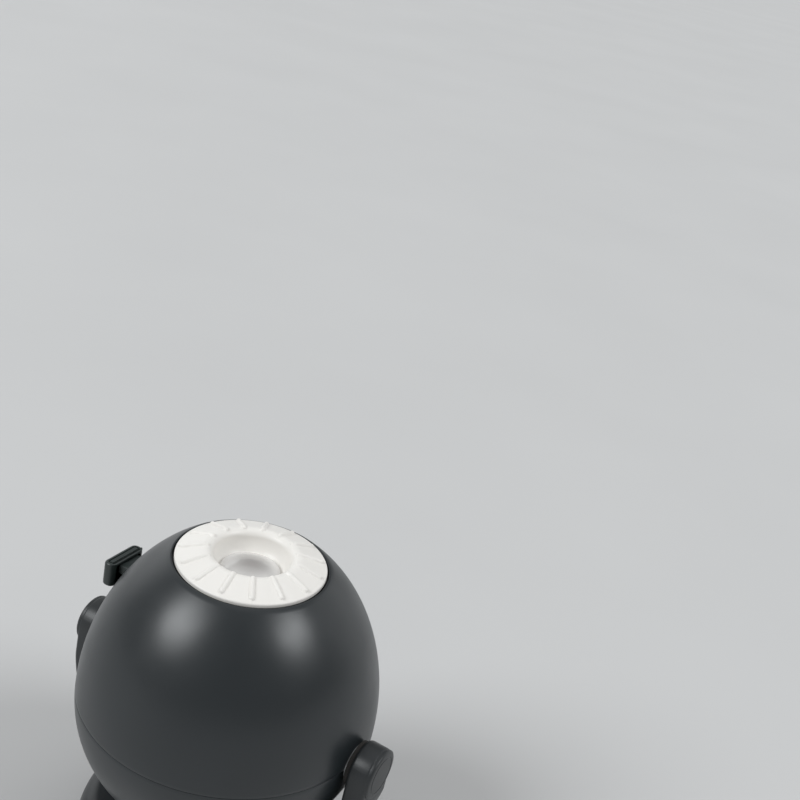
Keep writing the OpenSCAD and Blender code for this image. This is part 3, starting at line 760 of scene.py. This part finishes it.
def stand_arm(name, node, mirrored):
    """Arm of the stand: a rounded slab with a round top, bent to follow the head."""
    drop = PIVOT_Z - BASE_TOP
    outline = []
    for step in range(33):
        angle = math.pi * step / 32
        outline.append((ARM_END_R * math.cos(angle), ARM_END_R * math.sin(angle)))
    sides = []
    for step in range(1, 21):
        share = step / 20
        sides.append((ARM_END_R + (ARM_FOOT_HALF - ARM_END_R) * share * share, -drop * share))
    outline = outline + [(-width, z) for width, z in sides] + sides[::-1]
    bm = prism([(0.0, y, z) for y, z in outline], (ARM_THICK, 0, 0))
    rims = []
    for edge in bm.edges:
        first, second = edge.verts
        flat = abs(first.co.x - second.co.x) < 1e-6
        foot = first.co.z < -drop + 0.01 and second.co.z < -drop + 0.01
        if flat and not foot:
            rims.append(edge)
    round_edges(bm, rims, 1.8, 5)
    for level in range(-68, 12, 2):
        geometry = bm.verts[:] + bm.edges[:] + bm.faces[:]
        bmesh.ops.bisect_plane(bm, geom=geometry, plane_co=(0, 0, level), plane_no=(0, 0, 1), dist=0.001)
    for vert in bm.verts:
        inner, outer = arm_side(vert.co.z)
        vert.co.x = inner + (outer - inner) * vert.co.x / ARM_THICK
    steps = [
        ("DIFFERENCE", rod(7.06, 70, 95, "X")),
        ("DIFFERENCE", rod(10.5, 83.5, 95, "X")),
    ]
    bm = combined(bm, steps)
    if mirrored:
        bmesh.ops.scale(bm, vec=(-1, 1, 1), verts=bm.verts)
    bmesh.ops.translate(bm, vec=(0, 0, PIVOT_Z), verts=bm.verts)
    return finished(name, bm, stand_plastic, "stand", [node], sharp=40)


def arm_button(name, node, mirrored):
    """Cap over the tilt joint: crowned disc with a rolled rim, a ring groove and a locating skirt."""
    section = [(0.0, 88.5), (3.0, 88.49), (6.0, 88.44), (8.6, 88.36), (8.9, 88.1), (9.3, 88.1), (9.6, 88.32)]
    section = section + [(11.0, 88.18), (11.8, 87.95), (12.2, 87.6), (12.3, 87.3), (12.3, 86.0)]
    section = section + [(11.4, 86.0), (11.4, 86.9), (10.45, 87.0), (10.45, 85.6), (8.8, 85.6)]
    section = section + [(8.8, 87.0), (0.0, 87.0)]
    bm = lathe(section, 96, closed=False)
    turned_to_x(bm, mirrored)
    return finished(name, bm, stand_plastic, "stand", [node])


def cross_screw(head_r, head_h, shank_r, shank_len):
    """Pan-head screw that points up, with a cross recess in its head."""
    section = [(0.0, -head_h), (head_r * 0.72, -head_h), (head_r * 0.93, -head_h * 0.78)]
    section = section + [(head_r, -head_h * 0.42), (head_r, 0.0), (shank_r, 0.0)]
    pitch = 0.6
    for step in range(int(shank_len / pitch)):
        z = step * pitch
        section = section + [(shank_r, z + 0.1), (shank_r * 0.84, z + 0.35)]
    section = section + [(shank_r * 0.5, shank_len), (0.0, shank_len)]
    body = lathe(section, 32, closed=False)
    slots = []
    for length, width in ((head_r * 1.1, head_r * 0.26), (head_r * 0.26, head_r * 1.1)):
        tool = block((-length / 2, -width / 2, -head_h - 1), (length / 2, width / 2, -head_h * 0.35))
        slots.append(("DIFFERENCE", tool))
    return combined(body, slots)


def screw_set(name, node, places, low, sizes, body):
    """Same screw at several places, as one piece."""
    whole = bmesh.new()
    for index, (x, y) in enumerate(places):
        one = cross_screw(*sizes)
        turned = Matrix.Rotation(0.4 + index * 0.7, 3, "Z")
        bmesh.ops.rotate(one, verts=one.verts, cent=(0, 0, 0), matrix=turned)
        bmesh.ops.translate(one, vec=(x, y, low), verts=one.verts)
        absorb(whole, one)
    return finished(name, whole, steel, body, [node])


# ---------------------------------------------------------------- pieces rounded from the CAD form

FLAT_ANGLE = math.radians(0.6)
HARD_ANGLE = math.radians(32.0)

# Grip of the tray: outer face, thickness, half width, levels from the tilt axis, corner, ridges
GRIP_REACH = 76.4
GRIP_THICK = 6.8
GRIP_HALF = 12.0
GRIP_LOW = 32.6
GRIP_HIGH = 45.4
GRIP_CORNER = 3.0
RIDGE_R = 0.75
RIDGE_HALF = 7.5
RIDGE_X = -76.15
RIDGE_LEVELS = (36.2, 38.7, 41.2)


def softened(name, node, look, body, width):
    """Copy of a CAD piece with its facets merged and its hard edges rounded."""
    bm = cad_copy(node)
    bmesh.ops.dissolve_degenerate(bm, edges=bm.edges, dist=0.004)
    bmesh.ops.recalc_face_normals(bm, faces=bm.faces)
    bmesh.ops.dissolve_limit(bm, angle_limit=FLAT_ANGLE, verts=bm.verts, edges=bm.edges)
    hard = []
    for edge in bm.edges:
        if len(edge.link_faces) == 2 and edge.calc_face_angle(0.0) > HARD_ANGLE:
            hard.append(edge)
    round_edges(bm, hard, width, 3, clamp=True)
    return finished(name, bm, look, body, [node])


def grip_block():
    """Upright grip of the tray's tab: rounded block with a groove round its top and three ridges."""
    outline = []
    for x, y, first in ((1, 1, 0), (-1, 1, 90), (-1, -1, 180), (1, -1, 270)):
        for step in range(7):
            angle = math.radians(first + 15 * step)
            across = x * (GRIP_THICK / 2 - GRIP_CORNER) + GRIP_CORNER * math.cos(angle)
            along = y * (GRIP_HALF - GRIP_CORNER) + GRIP_CORNER * math.sin(angle)
            outline.append((across - GRIP_REACH + GRIP_THICK / 2, along, GRIP_LOW))
    bm = prism(outline, (0, 0, GRIP_HIGH - GRIP_LOW))
    rims = [edge for edge in bm.edges if abs(edge.verts[0].co.z - edge.verts[1].co.z) < 1e-6]
    round_edges(bm, rims, 1.1, 5)
    bmesh.ops.recalc_face_normals(bm, faces=bm.faces)
    tops = [face for face in bm.faces if face.normal.z > 0.999 and len(face.verts) > 8]
    for thickness, depth in ((0.55, 0.0), (0.12, -0.65), (0.5, 0.0), (0.12, 0.65)):
        bmesh.ops.inset_region(bm, faces=tops, thickness=thickness, depth=depth)
    bmesh.ops.translate(bm, vec=(0, 0, PIVOT_Z), verts=bm.verts)
    return bm


def disc_drawer():
    """Tray with its front strip from the CAD form, and a softly rounded grip."""
    bm = cad_copy("disc_tray")
    bmesh.ops.recalc_face_normals(bm, faces=bm.faces)
    steps = [
        ("DIFFERENCE", block((-90, -20, PIVOT_Z + 20), (-71.5, 20, PIVOT_Z + 60))),
        ("DIFFERENCE", block((-80, -20, 110), (-69.7, 20, 130.1))),
    ]
    bm = combined(bm, steps)
    bmesh.ops.dissolve_limit(bm, angle_limit=FLAT_ANGLE, verts=bm.verts, edges=bm.edges)
    grip = grip_block()
    for level in RIDGE_LEVELS:
        ridge = rod(RIDGE_R, -RIDGE_HALF, RIDGE_HALF, "Y", (RIDGE_X, 0, PIVOT_Z + level), 20)
        for side in (-RIDGE_HALF, RIDGE_HALF):
            ball = bmesh.ops.create_uvsphere(ridge, u_segments=20, v_segments=12, radius=RIDGE_R)
            bmesh.ops.translate(ridge, vec=(RIDGE_X, side, PIVOT_Z + level), verts=ball["verts"])
        absorb(grip, ridge)
    absorb(bm, grip)
    return finished("disc_drawer", bm, tray_plastic, "tray", ["disc_tray"], sharp=12)


def push_button(name, node, x, look, marks):
    """Button cap: guide flange, rounded rim, dished top and raised touch dots."""
    section = [(0.0, 61.2), (6.0, 61.2), (6.2, 61.4), (6.2, 62.1), (6.0, 62.3), (5.0, 62.3), (5.0, 67.3)]
    section = section + [(4.95, 67.55), (4.8, 67.8), (4.55, 67.95), (4.3, 68.0), (3.9, 67.97)]
    section = section + [(3.0, 67.82), (2.0, 67.72), (1.0, 67.66), (0.0, 67.64)]
    bm = lathe(section, 72, closed=False)
    for place in marks:
        dot = bmesh.ops.create_uvsphere(bm, u_segments=20, v_segments=10, radius=0.42)
        bmesh.ops.translate(bm, vec=(place, 0, 67.62), verts=dot["verts"])
    bmesh.ops.rotate(bm, verts=bm.verts, cent=(0, 0, 0), matrix=Matrix.Rotation(-TURN / 4, 3, "X"))
    bmesh.ops.translate(bm, vec=(x, 0, PIVOT_Z + PANEL_Z), verts=bm.verts)
    return finished(name, bm, look, node, [node])


def contact_coils():
    """Conical wire springs at the flat ends of the cells."""
    whole = bmesh.new()
    turns = 4
    start = -29.6
    length = 4.35
    wire_r = 0.35
    steps = turns * 28
    for index in range(3):
        ring = bmesh.ops.create_circle(whole, cap_ends=False, segments=10, radius=wire_r)
        verts = ring["verts"]
        bmesh.ops.rotate(whole, verts=verts, cent=(0, 0, 0), matrix=Matrix.Rotation(TURN / 4, 3, "Y"))
        bmesh.ops.rotate(whole, verts=verts, cent=(0, 0, 0), matrix=Matrix.Rotation(TURN / 4, 3, "Z"))
        bmesh.ops.translate(whole, vec=(0.4, 0, 4.1), verts=verts)
        edges = [edge for edge in whole.edges if edge.verts[0] in verts]
        bmesh.ops.spin(
            whole,
            geom=verts + edges,
            cent=(0, 0, 0),
            axis=(1, 0, 0),
            dvec=((length - 0.8) / steps, 0, 0),
            angle=TURN * turns,
            steps=steps,
        )
        made = [vert for vert in whole.verts if vert.tag is False]
        side = -1 if index == 1 else 1
        for vert in made:
            shrink = 1 - 0.42 * max(0.0, min(1.0, vert.co.x / length))
            vert.co.y = vert.co.y * shrink
            vert.co.z = vert.co.z * shrink
            vert.co.x = side * (vert.co.x + start)
            vert.co.y = vert.co.y + 31.4
            vert.co.z = vert.co.z + PIVOT_Z - 8.9 - 14.6 * index
            vert.tag = True
    return finished("contact_coils", whole, spring_steel, "head", ["contact_springs"])


crown_shell()
bowl_shell()
ribbed_ring()
front_glass()
base_housing()
stand_arm("arm_right", "yoke_arm_right", False)
stand_arm("arm_left", "yoke_arm_left", True)
arm_button("cap_right", "arm_cap_right", False)
arm_button("cap_left", "arm_cap_left", True)
screw_set("plate_screws", "base_screws", BASE_SCREWS, 3.2, (2.8, 1.15, 1.4, 10.6), "stand")
screw_set("well_screws", "shell_screws", SHELL_SCREWS, PIVOT_Z - 8, (3.0, 2.4, 1.5, 19.8), "head")
disc_drawer()
softened("soft_panel", "control_panel", panel_plastic, "head", 0.3)
softened("soft_door", "battery_door", head_plastic, "battery_door", 0.25)
softened("soft_feet", "rubber_feet", rubber, "stand", 0.4)
push_button("red_cap", "power_button", -7.5, red_plastic, [0.0])
push_button("grey_cap", "timer_button", 7.5, grey_plastic, [-0.9, 0.9])
contact_coils()


# ---------------------------------------------------------------- stage, light and camera

CAMERA_YAW = 114.025
CAMERA_PITCH = -23.567
CAMERA_ROLL = 12.337
CAMERA_LENS = 55.1
CAMERA_PLACE = (0.24686, -0.42669, 0.47900)
AMBIENT = 0.25
BACKDROP = (0.584, 0.597, 0.604, 1.0)


def floor_look():
    """Pale floor with faint soft clouding."""
    look = Look("pale_floor")
    grain = look.fit(look.noise(3.0, 3.0), 0.3, 0.7, 0.0, 1.0)
    base = look.blend(grain, (0.60, 0.60, 0.60, 1.0), (0.62, 0.62, 0.62, 1.0))
    return look.shader(Base_Color=base, Roughness=0.7)


def floor():
    bm = bmesh.new()
    bmesh.ops.create_grid(bm, x_segments=8, y_segments=8, size=20.0)
    mesh = bpy.data.meshes.new("floor")
    bm.to_mesh(mesh)
    bm.free()
    mesh.materials.append(floor_look())
    plane = bpy.data.objects.new("floor", mesh)
    bpy.context.scene.collection.objects.link(plane)


def soft_light(name, direction, width, strength):
    """Broad studio light from one direction. Its width is the angle that it fills, in degrees."""
    data = bpy.data.lights.new(name, "SUN")
    data.angle = math.radians(width)
    data.energy = strength
    data.color = LIGHT_TINT
    lamp = bpy.data.objects.new(name, data)
    aim = Vector(direction).normalized()
    lamp.location = aim * 2.0
    lamp.rotation_euler = aim.to_track_quat("Z", "Y").to_euler()
    bpy.context.scene.collection.objects.link(lamp)


def studio_world():
    """Even dim surroundings, with a paler backdrop that only the camera sees."""
    world = bpy.data.worlds.new("studio")
    bpy.context.scene.world = world
    world.use_nodes = True
    tree = world.node_tree
    tree.nodes.clear()
    path = tree.nodes.new("ShaderNodeLightPath")
    ambient = tree.nodes.new("ShaderNodeBackground")
    ambient.inputs["Color"].default_value = (1.0, 1.0, 1.0, 1.0)
    ambient.inputs["Strength"].default_value = AMBIENT
    seen = tree.nodes.new("ShaderNodeBackground")
    seen.inputs["Color"].default_value = BACKDROP
    seen.inputs["Strength"].default_value = 1.0
    mix = tree.nodes.new("ShaderNodeMixShader")
    output = tree.nodes.new("ShaderNodeOutputWorld")
    tree.links.new(path.outputs["Is Camera Ray"], mix.inputs[0])
    tree.links.new(ambient.outputs[0], mix.inputs[1])
    tree.links.new(seen.outputs[0], mix.inputs[2])
    tree.links.new(mix.outputs[0], output.inputs["Surface"])


def camera():
    """Camera at the photograph's viewing angle, leaning a little to one side."""
    yaw = math.radians(CAMERA_YAW)
    pitch = math.radians(CAMERA_PITCH)
    roll = math.radians(CAMERA_ROLL)
    ahead = Vector((math.cos(pitch) * math.cos(yaw), math.cos(pitch) * math.sin(yaw), math.sin(pitch)))
    level = ahead.cross(Vector((0, 0, 1))).normalized()
    above = level.cross(ahead)
    right = level * math.cos(roll) + above * math.sin(roll)
    up = above * math.cos(roll) - level * math.sin(roll)
    data = bpy.data.cameras.new("camera")
    data.sensor_width = 36.0
    data.lens = CAMERA_LENS
    data.clip_start = 0.01
    data.clip_end = 100.0
    made = bpy.data.objects.new("camera", data)
    turned = Matrix((right, up, -ahead)).transposed()
    made.matrix_world = Matrix.Translation(CAMERA_PLACE) @ turned.to_4x4()
    bpy.context.scene.collection.objects.link(made)
    bpy.context.scene.camera = made


floor()
soft_light("front_left_light", (-0.485, -0.60, 0.635), 30.0, 1.64)
soft_light("right_light", (0.70, 0.12, 0.705), 26.0, 1.1)
soft_light("back_right_light", (0.42, 0.86, 0.34), 50.0, 0.3)
soft_light("back_left_light", (-0.88, 0.43, 0.20), 50.0, 0.45)
soft_light("top_light", (-0.2, 0.25, 1.0), 60.0, 0.3)
studio_world()
camera()
bpy.context.scene.view_settings.view_transform = "Standard"
